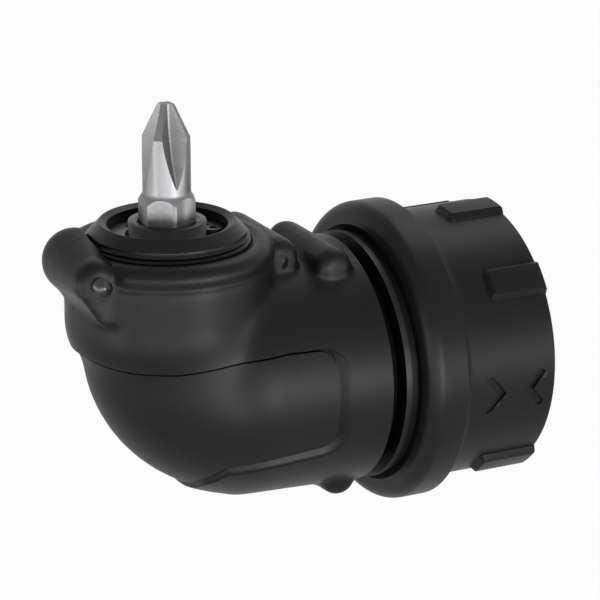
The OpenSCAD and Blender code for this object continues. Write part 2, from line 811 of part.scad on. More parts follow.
// Bevel teeth that run in towards the crossing of the axes, with a hub behind them
module bevel_gear(hub_h) {
    levels = [pitch_r - tooth_face, tooth_tip_r / tip_share, pitch_r];
    count = gear_teeth * len(tooth_outline);
    low = 3 * count;
    rows = [for (z = levels) each teeth_at(z)];
    walls = [
        for (row = [0:1], j = [0:count - 1]) let(a = row * count + j, b = row * count + (j + 1) % count)
            each [[a, a + count, b + count], [a, b + count, b]]
    ];
    caps = [
        for (j = [0:count - 1]) let(k = (j + 1) % count)
            each [[low, j, k], [low + 1, 2 * count + k, 2 * count + j]]
    ];
    difference() {
        union() {
            polyhedron(
                points = concat(rows, [[0, 0, levels[0]], [0, 0, pitch_r]]), faces = concat(walls, caps)
            );
            translate([0, 0, pitch_r - hub_sunk]) cylinder(r = gear_hub_r, h = hub_h + hub_sunk);
        }
        cylinder(r = gear_bore_r, h = 4 * pitch_r);
    }
}

module output_gear() {
    color(steel) at_head() bevel_gear(gear_hub_h);
}

module input_pinion() {
    color(steel) at_head() along_x() rotate([0, 0, 180 / gear_teeth]) bevel_gear(pinion_hub_h);
}

// The bit, with a hexagon, a round shank and a cross point
module screwdriver_bit() {
    point_z = bit_len - bit_point_len;
    color(steel) at_head() rotate([0, 0, hex_turn]) translate([0, 0, bit_z]) difference() {
        union() {
            intersection() {
                hex_bar(hex_af, bit_hex_len);
                rotate_extrude() polygon([
                    [0, 0], [bit_shank_r, 0], [bit_shank_r + cut, cut],
                    [2 * hex_af / sqrt(3) - bit_shank_r, bit_hex_len - 2 * bit_neck_h],
                    [bit_shank_r, bit_hex_len], [0, bit_hex_len]
                ]);
            }
            rotate_extrude() polygon([
                [0, bit_hex_len - cut], [bit_shank_r, bit_hex_len - cut], [bit_shank_r, point_z],
                [bit_tip_r, bit_len], [0, bit_len]
            ]);
        }
        // Four grooves that run out up the shank along a rounded path
        for (turn = [0:90:270]) rotate([0, 0, turn - hex_turn]) {
            translate([flute_web + flute_path_r, 0, bit_len]) rotate([90, 0, 0]) rotate_extrude() polygon([
                [0, -flute_path_r * tan(flute_angle / 2)], [flute_path_r, 0],
                [0, flute_path_r * tan(flute_angle / 2)]
            ]);
        }
    }
}

module input_shaft() {
    color(steel) at_head() {
        difference() {
            along_x() union() {
                front = pitch_r - tooth_face;
                translate([0, 0, front]) cylinder(r = gear_bore_r, h = pinion_back_x - front);
                translate([0, 0, pinion_back_x]) cylinder(r = in_bore_r, h = in_end_x - pinion_back_x);
                translate([0, 0, in_end_x]) cylinder(r = shaft_shoulder_r, h = tube_end_x - in_end_x);
                translate([0, 0, tube_end_x]) cylinder(r = shaft_r, h = shank_x - tube_end_x);
                translate([0, 0, shank_x]) intersection() {
                    hex_bar(hex_af, shank_len);
                    union() {
                        cylinder(r = shaft_r, h = shank_len - clip_t);
                        translate([0, 0, shank_len - clip_t]) {
                            cylinder(r1 = shaft_r, r2 = shaft_r - clip_t, h = clip_t);
                        }
                    }
                }
            }
            // Groove that the drill's locking balls drop into
            translate([shank_end_x - shank_len / 2, 0, 0]) along_x() rotate_extrude() {
                translate([hex_corner_r + clip_t / 2, 0]) circle(clip_w);
            }
        }
    }
}

module input_bearing_outer() {
    color(bright) at_head() translate([in_x, 0, 0]) along_x() {
        race(in_pitch_r + in_land, in_outer_r, in_h, in_pitch_r, in_ball_r);
    }
}

module input_bearing_inner() {
    color(bright) at_head() translate([in_x, 0, 0]) along_x() {
        race(in_bore_r, in_pitch_r - in_land, in_h, in_pitch_r, in_ball_r);
    }
}

module input_bearing_balls() {
    color(bright) at_head() translate([in_x, 0, 0]) along_x() ball_set(in_pitch_r, in_ball_r, in_balls, in_h);
}

module input_bearing_cage() {
    color(bronze) at_head() translate([in_x, 0, 0]) along_x() cage(in_pitch_r, in_ball_r, in_balls, in_h);
}

// Half of the angle that the input circlip leaves open
in_clip_gap = 16;

module input_circlip() {
    color(steel) at_head() translate([in_end_x + seat_gap / 2, 0, 0]) {
        along_x() circlip(in_outer_r, -in_clip_gap, in_clip_gap);
    }
}

module rear_bush() {
    color(bronze) at_head() along_x() ring(shaft_r + run_gap, rear_bush_r, web_x, web_t);
}

module adapter_sleeve() {
    inner_r = neck_r - sleeve_wall;
    color(black) at_head() difference() {
        along_x() union() {
            translate([0, 0, disc_x]) cylinder(r = disc_r, h = disc_t);
            translate([0, 0, disc_x]) cylinder(r = neck_r, h = web_x - disc_x);
            translate([0, 0, barrel_end_x + 3 * seat_gap]) {
                cylinder(r = ring_seat_r, h = web_x - barrel_end_x);
            }
            translate([0, 0, shoulder_x]) cylinder(r = sleeve_shoulder_r, h = sleeve_shoulder_t);
            translate([0, 0, shoulder_x]) cylinder(r = journal_r, h = sleeve_end_x - shoulder_x);
        }
        translate([disc_x - cut, 0, 0]) along_x() cylinder(r = inner_r, h = web_x - disc_x + cut);
        translate([web_x - cut, 0, 0]) along_x() cylinder(r = rear_bush_r, h = web_t + 2 * cut);
        translate([web_end_x, 0, 0]) along_x() cylinder(r = nose_bore_r, h = sleeve_end_x);
        translate([snap_x - seat_gap / 2, 0, 0]) along_x() {
            ring(journal_r - snap_groove, journal_r + cut, 0, snap_t + seat_gap);
        }
        // Indexing notches for the drill's nose
        for (i = [0:index_notches - 1]) rotate([i * 360 / index_notches, 0, 0]) {
            translate([web_end_x + cut, 0, nose_bore_r]) along_x() cylinder(r = notch_r, h = sleeve_end_x);
        }
        sleeve_keys(seat_gap);
        // Pockets of the detent balls
        for (side = [-1, 1]) translate([detent_x, 0, 0]) mirror([0, 0, side < 0 ? 1 : 0]) {
            translate([0, 0, spring_floor_z]) cylinder(r = detent_r + run_gap, h = journal_r);
        }
    }
}

module thrust_ring() {
    color(steel) at_head() along_x() ring(ring_seat_r + seat_gap / 2, thrust_r, thrust_x, thrust_t);
}

module collar_snap_ring() {
    color(steel) at_head() translate([snap_x, 0, 0]) along_x() difference() {
        ring(journal_r - snap_groove, journal_r + snap_proud, 0, snap_t);
        translate([-clip_w, 0, -cut]) cube([2 * clip_w, 2 * journal_r, snap_t + 2 * cut]);
    }
}

// One engraved arrow head that points along X
module arrow(direction) {
    back = direction * arrow_reach;
    stroke = direction * arrow_stroke;
    polygon([
        [0, 0], [-back, arrow_half_h], [-back - stroke, arrow_half_h - arrow_stroke / 2],
        [-stroke * arrow_notch, 0], [-back - stroke, -arrow_half_h + arrow_stroke / 2], [-back, -arrow_half_h]
    ]);
}

// Angle by which the detent path runs past a ball's two places
detent_overrun = 6;

// The path in the collar that pushes a detent ball in as the collar turns
module detent_path() {
    locked_r = journal_r + detent_rise + 3 * run_gap;
    middle = collar_turn / 2;
    half = middle + detent_overrun;
    shift = detent_travel / (collar_turn * PI / 180);
    rotate([0, 0, middle]) intersection() {
        translate([0, -shift, 0]) {
            cylinder(r = locked_r - detent_travel / 2, h = 2 * detent_r + run_gap, center = true);
        }
        linear_extrude(height = 4 * detent_r, center = true) polygon([
            [0, 0], [2 * journal_r, -2 * journal_r * tan(half)], [2 * journal_r, 2 * journal_r * tan(half)]
        ]);
    }
}

module lock_collar() {
    flange_end_x = collar_x + flange_w;
    fillet = flange_r - collar_r;
    tab_x = axis_to_mouth - tab_t;
    color(black) at_head() difference() {
        union() {
            along_x() rotate_extrude() difference() {
                union() {
                    translate([0, collar_x]) square([collar_r, axis_to_mouth - collar_x - rim_round]);
                    translate([0, collar_x]) square([collar_r - rim_round, axis_to_mouth - collar_x]);
                    translate([collar_r - rim_round, axis_to_mouth - rim_round]) circle(rim_round);
                    translate([0, collar_x + flange_round]) square([flange_r, flange_w - flange_round]);
                    translate([0, collar_x]) square([flange_r - flange_round, flange_round]);
                    translate([flange_r - flange_round, collar_x + flange_round]) circle(flange_round);
                    translate([0, flange_end_x]) square([collar_r + fillet, fillet]);
                }
                translate([collar_r + fillet, flange_end_x + fillet]) circle(fillet);
            }
            for (turn = pad_angles) rotate([turn, 0, 0]) collar_pad();
        }
        translate([collar_x - cut, 0, 0]) along_x() cylinder(r = journal_r + seat_gap, h = axis_to_mouth);
        difference() {
            translate([collar_floor_x, 0, 0]) along_x() cylinder(r = collar_bore_r, h = axis_to_mouth);
            for (turn = tab_angles) rotate([turn, 0, 0]) intersection() {
                translate([tab_x, 0, 0]) along_x() ring(tab_r, collar_r, 0, tab_t);
                bayonet_wedge();
            }
        }
        rotate([arrow_angle, 0, 0]) translate([0, -collar_r + arrow_depth, 0]) rotate([90, 0, 0]) {
            linear_extrude(height = collar_r) {
                translate([axis_to_mouth - arrow_from_mouth[0], 0]) arrow(1);
                translate([axis_to_mouth - arrow_from_mouth[1], 0]) arrow(-1);
            }
        }
        for (turn = [0, 180]) translate([detent_x, 0, 0]) rotate([turn, 0, 0]) {
            rotate([0, -90, 0]) detent_path();
        }
    }
    color(black) at_head() for (turn = tab_angles) rotate([turn, 0, 0]) intersection() {
        translate([tab_x, 0, 0]) along_x() ring(tab_r, collar_r - rim_round, 0, tab_t);
        bayonet_wedge();
    }
}

// Places of the three bayonet tabs round the collar
tab_angles = [30, 150, 270];

// The wedge of space that one bayonet tab spans
module bayonet_wedge() {
    half = tab_angle / 2;
    along_x() linear_extrude(height = 2 * axis_to_mouth) polygon([
        [0, 0], [2 * collar_r, -2 * collar_r * tan(half)], [2 * collar_r, 2 * collar_r * tan(half)]
    ]);
}

// One grip pad with sloped sides, on the side that faces left
module collar_pad() {
    top = collar_r + pad_h;
    foot = journal_r + pad_h;
    intersection() {
        translate([axis_to_mouth - pad_len, 0, 0]) rotate([90, 0, 90]) {
            linear_extrude(height = pad_len) polygon([
                [-foot, -pad_foot_w], [-top, -pad_top_w], [-top, pad_top_w], [-foot, pad_foot_w]
            ]);
        }
        translate([collar_x, 0, 0]) along_x() cylinder(r = top, h = axis_to_mouth);
    }
}

// A ball that clicks into the collar, above the axis when side is 1 and below it when it is -1
module detent_ball(side) {
    color(bright) at_head() translate([detent_x, 0, side * detent_z]) sphere(detent_r);
}

// A wound spring up Z from zero, one unbroken tube
module wound_spring(coil_r, wire_r, height, turns) {
    steps = 10;
    sides = 5;
    rings = turns * steps;
    rise = height - 2 * wire_r;
    points = [
        for (i = [0:rings], j = [0:sides - 1]) let(
            along = i * 360 / steps,
            around = j * 360 / sides,
            r = coil_r + wire_r * cos(around)
        ) [r * cos(along), r * sin(along), wire_r + rise * i / rings + wire_r * sin(around)]
    ];
    walls = [
        for (i = [0:rings - 1], j = [0:sides - 1]) let(k = (j + 1) % sides)
            each [
                [i * sides + j, i * sides + k, (i + 1) * sides + k],
                [i * sides + j, (i + 1) * sides + k, (i + 1) * sides + j]
            ]
    ];
    first = [for (j = [1:sides - 2]) [0, j + 1, j]];
    last = [for (j = [1:sides - 2]) [rings * sides, rings * sides + j, rings * sides + j + 1]];
    polyhedron(points = points, faces = concat(walls, first, last));
}

module detent_spring(side) {
    color(steel) at_head() translate([detent_x, 0, 0]) mirror([0, 0, side < 0 ? 1 : 0]) {
        translate([0, 0, spring_floor_z]) {
            wound_spring(spring_r - spring_wire_r, spring_wire_r, spring_len, spring_turns);
        }
    }
}

module detent_ball_upper() detent_ball(1);
module detent_ball_lower() detent_ball(-1);
module detent_spring_upper() detent_spring(1);
module detent_spring_lower() detent_spring(-1);

housing_left();
housing_right();
elbow_guard();
housing_screws();
gear_case();
output_circlip();
output_seal();
output_bearing_outer();
output_bearing_inner();
output_bearing_balls();
output_bearing_cage();
lower_bush();
output_spindle();
output_gear();
bit_magnet();
bit_clip();
screwdriver_bit();
input_shaft();
input_pinion();
input_bearing_outer();
input_bearing_inner();
input_bearing_balls();
input_bearing_cage();
input_circlip();
rear_bush();
adapter_sleeve();
thrust_ring();
collar_snap_ring();
lock_collar();
detent_ball_upper();
detent_ball_lower();
detent_spring_upper();
detent_spring_lower();
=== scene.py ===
import json
import math

import bpy
import numpy as np
from mathutils import Matrix, Vector

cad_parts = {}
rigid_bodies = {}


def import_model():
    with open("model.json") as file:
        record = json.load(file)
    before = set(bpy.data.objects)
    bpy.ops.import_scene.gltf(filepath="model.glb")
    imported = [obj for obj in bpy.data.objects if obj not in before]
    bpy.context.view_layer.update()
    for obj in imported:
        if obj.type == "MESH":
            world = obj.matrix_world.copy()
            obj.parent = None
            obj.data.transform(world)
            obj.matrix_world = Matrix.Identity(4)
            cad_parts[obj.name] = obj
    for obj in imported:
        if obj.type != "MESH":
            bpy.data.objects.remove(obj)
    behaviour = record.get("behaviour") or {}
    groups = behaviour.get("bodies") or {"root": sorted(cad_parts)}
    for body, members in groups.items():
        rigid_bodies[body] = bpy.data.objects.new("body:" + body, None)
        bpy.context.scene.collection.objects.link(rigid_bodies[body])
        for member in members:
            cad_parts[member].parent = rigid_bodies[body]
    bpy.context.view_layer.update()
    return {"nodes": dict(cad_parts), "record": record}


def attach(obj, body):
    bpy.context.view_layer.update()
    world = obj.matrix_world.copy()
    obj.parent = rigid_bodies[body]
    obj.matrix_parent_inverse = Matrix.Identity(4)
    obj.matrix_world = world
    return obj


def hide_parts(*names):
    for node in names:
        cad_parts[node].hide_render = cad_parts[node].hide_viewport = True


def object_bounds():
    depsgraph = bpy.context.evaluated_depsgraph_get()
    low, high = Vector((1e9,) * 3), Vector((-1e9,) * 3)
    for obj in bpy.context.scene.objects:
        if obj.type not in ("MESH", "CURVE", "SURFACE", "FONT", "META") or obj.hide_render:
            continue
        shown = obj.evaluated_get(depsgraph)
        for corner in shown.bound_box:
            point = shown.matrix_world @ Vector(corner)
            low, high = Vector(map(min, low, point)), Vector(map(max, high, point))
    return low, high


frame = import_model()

# The shapes are drawn in millimetres from the crossing of the spindle's and the shank's axes,
# and moved to their place before the collar's mouth when they are finished.
MM = 0.001
AXIS_TO_MOUTH = 46

# Faces round a turned body: usual, on the bezel and collar, on the bit, on a section of the bend and
# a screw boss, on a rod with round ends, on the circlip's lug, and on the wheel that cuts the flutes
ROUND_STEPS = 192
CLOSE_STEPS = 256
BIT_STEPS = 128
BEND_STEPS = 96
BOSS_STEPS = 96
ROD_STEPS = 64
LUG_STEPS = 48
WHEEL_STEPS = 360

# Distance under which two corners are one, when drawn here and in a copy from the frame
SAME = 1e-4
SAME_IN_COPY = 2e-4


# Shaping
def deselect():
    """Leaves edit mode, and leaves nothing selected."""
    if bpy.context.object and bpy.context.object.mode != "OBJECT":
        bpy.ops.object.mode_set(mode="OBJECT")
    bpy.ops.object.select_all(action="DESELECT")


def only(*pieces):
    """Selects these pieces alone, and makes the first one active."""
    deselect()
    for piece in pieces:
        piece.select_set(True)
    bpy.context.view_layer.objects.active = pieces[0]


def apply_place():
    """Puts the place, turn and scale of the selected piece into its mesh."""
    bpy.ops.object.transform_apply(location=True, rotation=True, scale=True)


def arc(cx, cy, r, start, end, steps=12):
    """Points on an arc, its angles in degrees."""
    return [
        (cx + r * math.cos(math.radians(start + (end - start) * i / steps)),
         cy + r * math.sin(math.radians(start + (end - start) * i / steps)))
        for i in range(steps + 1)
    ]


def drawn_line(name, places):
    """A new piece with one line through the places, left selected in edit mode."""
    deselect()
    bpy.ops.mesh.primitive_plane_add(size=1, location=(0, 0, 0))
    piece = bpy.context.object
    piece.name = name
    bpy.ops.object.mode_set(mode="EDIT")
    bpy.ops.mesh.select_all(action="SELECT")
    bpy.ops.mesh.merge(type="CENTER")
    bpy.ops.transform.translate(value=places[0])
    for here, there in zip(places, places[1:]):
        bpy.ops.mesh.extrude_vertices_move(TRANSFORM_OT_translate={"value": there - here})
    bpy.ops.mesh.select_all(action="SELECT")
    return piece


def turned(name, axis, profile, centre=(0, 0, 0), steps=ROUND_STEPS):
    """A turned body. The profile gives (distance from the axis, place along it)."""
    along = {"X": Vector((1, 0, 0)), "Y": Vector((0, 1, 0)), "Z": Vector((0, 0, 1))}[axis]
    out = {"X": Vector((0, 0, 1)), "Y": Vector((1, 0, 0)), "Z": Vector((1, 0, 0))}[axis]
    centre = Vector(centre)
    piece = drawn_line(name, [centre + out * r + along * h for r, h in profile])
    bpy.ops.mesh.spin(steps=steps, angle=2 * math.pi, center=centre, axis=along)
    bpy.ops.mesh.select_all(action="SELECT")
    bpy.ops.mesh.remove_doubles(threshold=SAME)
    bpy.ops.mesh.normals_make_consistent(inside=False)
    bpy.ops.object.mode_set(mode="OBJECT")
    return piece


def prism(name, outline, axis, start, end):
    """A straight bar with the given outline, from start to end along an axis.
    The outline is in (X, Z) for Y, and in (X, Y) for Z."""
    def at(p, h):
        return Vector((p[0], h, p[1]) if axis == "Y" else (p[0], p[1], h))

    piece = drawn_line(name, [at(p, start) for p in outline + outline[:1]])
    bpy.ops.mesh.remove_doubles(threshold=SAME)
    bpy.ops.mesh.edge_face_add()
    bpy.ops.mesh.extrude_region_move(TRANSFORM_OT_translate={"value": at((0, 0), end - start)})
    bpy.ops.mesh.select_all(action="SELECT")
    bpy.ops.mesh.normals_make_consistent(inside=False)
    bpy.ops.object.mode_set(mode="OBJECT")
    return piece


def turned_about(piece, axis, degrees):
    """Turns a piece about an axis through the crossing of the two main axes."""
    only(piece)
    piece.matrix_world = Matrix.Rotation(math.radians(degrees), 4, axis) @ piece.matrix_world
    apply_place()
    return piece


def rod(name, start, start_r, end, end_r):
    """A rod with round ends whose radius changes evenly from one end to the other."""
    start, end = Vector(start), Vector(end)
    length = (end - start).length
    lean = math.degrees(math.asin((start_r - end_r) / length))
    profile = arc(0, 0, start_r, -90, lean, 16) + arc(0, length, end_r, lean, 90, 16)
    piece = turned(name, "Z", profile, steps=ROD_STEPS)
    turn = (end - start).to_track_quat("Z", "Y").to_matrix().to_4x4()
    piece.matrix_world = Matrix.Translation(start) @ turn
    apply_place()
    return piece


def pick(piece, kind, wanted):
    """Selects the faces or corners of a piece that are wanted, and enters edit mode."""
    only(piece)
    bpy.ops.object.mode_set(mode="EDIT")
    bpy.ops.mesh.select_mode(type=kind)
    bpy.ops.mesh.select_all(action="DESELECT")
    bpy.ops.object.mode_set(mode="OBJECT")
    for part in piece.data.polygons if kind == "FACE" else piece.data.vertices:
        part.select = wanted(part)
    bpy.ops.object.mode_set(mode="EDIT")


def raised(piece, place, inset, rise):
    """Insets the faces of a piece that lie at a place along Y, and raises them."""
    pick(piece, "FACE", lambda face: abs(face.center.y - place) < 1e-3)
    bpy.ops.mesh.inset(thickness=inset, depth=rise)
    bpy.ops.mesh.select_mode(type="VERT")
    bpy.ops.object.mode_set(mode="OBJECT")
    return piece


def block(name, low, high):
    """A box between two corners, used to cut with."""
    deselect()
    middle = [(a + b) / 2 for a, b in zip(low, high)]
    bpy.ops.mesh.primitive_cube_add(size=1, location=middle)
    piece = bpy.context.object
    piece.name = name
    piece.scale = [b - a for a, b in zip(low, high)]
    apply_place()
    return piece


def modify(piece, kind, **settings):
    """Adds a modifier with its settings, and applies it."""
    only(piece)
    modifier = piece.modifiers.new(kind.title(), kind)
    for key, value in settings.items():
        setattr(modifier, key, value)
    bpy.ops.object.modifier_apply(modifier=modifier.name)
    return piece


def softened(piece, width, segments, degrees):
    """Rounds the edges at which the faces turn by more than an angle."""
    limit = math.radians(degrees)
    return modify(piece, "BEVEL", width=width, segments=segments, limit_method="ANGLE", angle_limit=limit)


def join(name, *pieces):
    """One piece out of several, which may run through each other."""
    only(*pieces)
    bpy.ops.object.join()
    pieces[0].name = name
    return pieces[0]


def copied(piece, name):
    """A copy with a mesh of its own."""
    only(piece)
    bpy.ops.object.duplicate()
    twin = bpy.context.object
    twin.name = name
    return twin


def boolean(piece, other, operation):
    """Unites a piece with another, cuts it by that one or keeps what they share. The other is used up."""
    modify(piece, "BOOLEAN", operation=operation, object=other, solver="MANIFOLD")
    bpy.data.objects.remove(other, do_unlink=True)
    return piece


def cut(piece, *cutters):
    """Cuts a piece by each of the others in turn."""
    for cutter in cutters:
        boolean(piece, cutter, "DIFFERENCE")
    return piece


def skin(piece, grid, rounds):
    """One skin over all that is joined in the piece, with its creases softened."""
    modify(piece, "REMESH", mode="VOXEL", voxel_size=grid, use_smooth_shade=True)
    return modify(piece, "SMOOTH", factor=0.5, iterations=rounds)


def from_cad(node, name):
    """A merged copy of a part of the frame, in millimetres from the crossing of the axes."""
    piece = copied(frame["nodes"][node], name)
    only(piece)
    bpy.ops.object.parent_clear(type="CLEAR_KEEP_TRANSFORM")
    to_drawing = Matrix.Translation((AXIS_TO_MOUTH, 0, 0)) @ Matrix.Scale(1 / MM, 4)
    piece.matrix_world = to_drawing @ piece.matrix_world
    apply_place()
    bpy.ops.object.mode_set(mode="EDIT")
    bpy.ops.mesh.select_all(action="SELECT")
    bpy.ops.mesh.remove_doubles(threshold=SAME_IN_COPY)
    bpy.ops.object.mode_set(mode="OBJECT")
    return piece


def bisect(piece, place, normal):
    """Cuts off what lies on the normal's side of a plane, and closes the cut."""
    only(piece)
    bpy.ops.object.mode_set(mode="EDIT")
    bpy.ops.mesh.select_all(action="SELECT")
    bpy.ops.mesh.bisect(plane_co=place, plane_no=normal, use_fill=True, clear_outer=True)
    bpy.ops.object.mode_set(mode="OBJECT")
    return piece


def finished(piece, body, slot, look, *nodes, sharp=32):
    """Moves a piece to its place, gives it its finish, and lets it stand for its nodes.
    Edges at which the faces turn by more than sharp degrees stay crisp."""
    only(piece)
    to_place = Matrix.Translation((-AXIS_TO_MOUTH * MM, 0, 0)) @ Matrix.Scale(MM, 4)
    piece.matrix_world = to_place @ piece.matrix_world
    apply_place()
    bpy.ops.object.shade_smooth_by_angle(angle=math.radians(sharp))
    piece.data.materials.clear()
    piece.data.materials.append(look)
    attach(piece, body)
    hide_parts(*nodes)


# Materials
class Value:
    """A shader socket that takes part in sums."""

    def __init__(self, paint, socket):
        self.paint, self.socket = paint, socket

    def math(self, operation, *others):
        return self.paint.node("ShaderNodeMath", {"operation": operation}, dict(enumerate(others)))

    def __add__(self, other):
        return self.math("ADD", self, other)

    def __mul__(self, other):
        return self.math("MULTIPLY", self, other)

    __radd__ = __add__


class Paint:
    """One material or the world, with its nodes."""

    def __init__(self, name, world=False):
        self.data = (bpy.data.worlds if world else bpy.data.materials).new(name)
        self.data.use_nodes = True
        self.nodes, self.links = self.data.node_tree.nodes, self.data.node_tree.links
        self.nodes.clear()

    def node(self, kind, settings=None, sockets=None, out=0):
        """A node of a kind, with its settings, and the values or links of its sockets."""
        made = self.nodes.new(kind)
        for key, value in (settings or {}).items():
            setattr(made, key, value)
        for key, value in (sockets or {}).items():
            if isinstance(value, Value):
                self.links.new(value.socket, made.inputs[key])
            else:
                made.inputs[key].default_value = value
        return Value(self, made.outputs[out])

    def place(self):
        return self.node("ShaderNodeTexCoord", out="Object")

    def noise(self, scale, detail, rough, place=None):
        return self.node(
            "ShaderNodeTexNoise", {"noise_dimensions": "3D"},
            {"Vector": place or self.place(), "Scale": scale, "Detail": detail, "Roughness": rough},
        )

    def bump(self, height, strength, distance, below=None):
        sockets = {"Height": height, "Strength": strength, "Distance": distance}
        if below:
            sockets["Normal"] = below
        return self.node("ShaderNodeBump", {}, sockets)

    def mix(self, factor, dark, pale):
        """A colour between two, by a factor."""
        # The sockets of the two colours and of the result go by number, since each has namesakes.
        sockets = {"Factor": factor, 6: (*dark, 1), 7: (*pale, 1)}
        return self.node("ShaderNodeMix", {"data_type": "RGBA"}, sockets, out=2)

    def surface(self, **sockets):
        names = {"base": "Base Color", "rough": "Roughness", "metal": "Metallic", "normal": "Normal",
                 "specular": "Specular IOR Level"}
        shader = self.node("ShaderNodeBsdfPrincipled", {}, {names[k]: v for k, v in sockets.items()})
        self.node_output(shader)
        return self.data

    def seen(self):
        """One where the background is seen directly, in a reflection or through glass, else nothing."""
        kinds = ("Is Camera Ray", "Is Glossy Ray", "Is Transmission Ray")
        camera, glossy, through = (self.node("ShaderNodeLightPath", out=kind) for kind in kinds)
        return camera.math("MAXIMUM", camera.math("MAXIMUM", camera, glossy), through)

    def node_output(self, shader, kind="ShaderNodeOutputMaterial"):
        made = self.nodes.new(kind)
        self.links.new(shader.socket, made.inputs["Surface"])


def plastic(name, dark, pale, rough, grain, specular):
    """Moulded plastic: a fine grain, and a faint cloudiness in its colour and gloss."""
    p = Paint(name)
    clouds = p.noise(140, 4, 0.55)
    specks = p.noise(9000, 2, 0.6)
    colour = p.mix(clouds, dark, pale)
    gloss = rough - 0.03 + clouds * 0.05 + specks * 0.03
    fine = p.bump(specks, grain, 0.00006)
    waves = p.bump(p.noise(260, 2, 0.4), 0.05, 0.0002, fine)
    return p.surface(base=colour, rough=gloss, normal=waves, specular=specular)


def steel(name, dark, pale, rough, grain=0.25, scale=5200):
    """Bare or treated steel: a fine blasted grain with slightly uneven gloss."""
    p = Paint(name)
    clouds = p.noise(520, 5, 0.6)
    specks = p.noise(scale, 3, 0.6)
    colour = p.mix(clouds * 0.6 + specks * 0.4, dark, pale)
    gloss = rough - 0.06 + clouds * 0.14
    return p.surface(base=colour, rough=gloss, metal=1.0, normal=p.bump(specks, grain, 0.00003))


def turned_steel(name, dark, pale, rough, axis):
    """Steel with fine turning marks round an axis."""
    p = Paint(name)
    stretch = (9000, 300, 300) if axis == "X" else (300, 300, 9000)
    stretched = p.node("ShaderNodeMapping", {"vector_type": "POINT"}, {"Vector": p.place(), "Scale": stretch})
    marks = p.noise(1, 2, 0.5, stretched)
    clouds = p.noise(400, 3, 0.5)
    colour = p.mix(marks * 0.5 + clouds * 0.5, dark, pale)
    gloss = rough - 0.05 + marks * 0.12
    return p.surface(base=colour, rough=gloss, metal=1.0, normal=p.bump(marks, 0.2, 0.00002))


# The dark and the pale ends of the black that the housing, guard, collar and gear case share
MOULDED = ((0.0038, 0.0036, 0.0037), (0.0052, 0.005, 0.0051))

LOOKS = {
    "housing_plastic": plastic("Housing plastic", *MOULDED, 0.4, 0.3, 0.12),
    "guard_plastic": plastic("Guard plastic", *MOULDED, 0.44, 0.35, 0.12),
    "collar_plastic": plastic("Collar plastic", *MOULDED, 0.39, 0.3, 0.12),
    "sleeve_plastic": plastic("Sleeve plastic", (0.003, 0.003, 0.003), (0.004, 0.004, 0.004), 0.4, 0.2, 0.1),
    "case_metal": plastic("Black coated casting", *MOULDED, 0.34, 0.25, 0.14),
    "bit_steel": steel("Bit steel", (0.12, 0.12, 0.124), (0.22, 0.22, 0.224), 0.46),
    # The spindle is blackened, and its colour is darkened further as painted shade of the well round it.
    "spindle_steel": turned_steel("Blackened spindle steel with painted well shade", (0.012,) * 3, (0.035,) * 3, 0.36, "Z"),
    "shaft_steel": turned_steel("Shaft steel", (0.30, 0.30, 0.305), (0.45, 0.45, 0.455), 0.32, "X"),
    "gear_steel": steel("Gear steel", (0.18, 0.18, 0.185), (0.28, 0.28, 0.285), 0.45),
    "bearing_steel": turned_steel("Bearing steel", (0.5, 0.5, 0.51), (0.62, 0.62, 0.63), 0.22, "Z"),
    "cage_brass": steel("Pressed brass", (0.42, 0.30, 0.12), (0.55, 0.41, 0.18), 0.38),
    "bush_bronze": steel("Sintered bronze", (0.26, 0.17, 0.08), (0.42, 0.28, 0.14), 0.5, 0.5, 7000),
    "seal_rubber": plastic("Seal rubber", (0.008, 0.008, 0.008), (0.012, 0.012, 0.012), 0.6, 0.3, 0.4),
    "clip_steel": steel("Spring steel", (0.08, 0.08, 0.082), (0.17, 0.17, 0.172), 0.4),
    "ring_steel": steel("Blackened steel", (0.02, 0.02, 0.02), (0.04, 0.04, 0.04), 0.38, 0.2),
    "screw_steel": steel("Black oxide steel", (0.03, 0.03, 0.032), (0.06, 0.06, 0.062), 0.36, 0.2),
    "magnet_nickel": steel("Nickel plating", (0.45, 0.44, 0.42), (0.58, 0.57, 0.55), 0.25, 0.1),
    "spring_steel": steel("Spring wire", (0.30, 0.30, 0.305), (0.45, 0.45, 0.455), 0.3, 0.15),
}


# Camera, lights and floor

# The camera looks this many degrees past the Y axis and down, and stands this many millimetres
# to the right of the crossing of the axes, above it and before it.
CAMERA_TURN = 27.15
CAMERA_RISE = 18.3
CAMERA_PLACE = (16.39, 10.52, 420)
# The focal length and the width of the picture in pixels, and the width of the sensor in millimetres
FOCAL_PIXELS = 3350
PICTURE_PIXELS = 600
SENSOR = 36

# The low cards: azimuth from the camera's side in degrees, and power in watts. They and the soft box
# stand round a place along X, and lengths are in metres.
LIGHTS_X = -0.025
CARDS = ((-86, 0.016), (-54, 0.05), (-22, 0.045), (4, 0.05), (32, 0.13), (68, 0.034))
CARD_DISTANCE = 0.12
CARD_WIDTH = 0.042
CARD_HEIGHT = 0.029
CARD_MIDDLE = 0.0155

# The soft box behind: azimuth, elevation, distance, width, height and power
BACK_BOX = (150, 55, 0.4, 0.15, 0.15, 0.25)

# How white the floor is where it is seen, so that it keeps a faint shadow, and how much the world lights
FLOOR_WHITE = 0.96
WORLD_LIGHT = 0.12


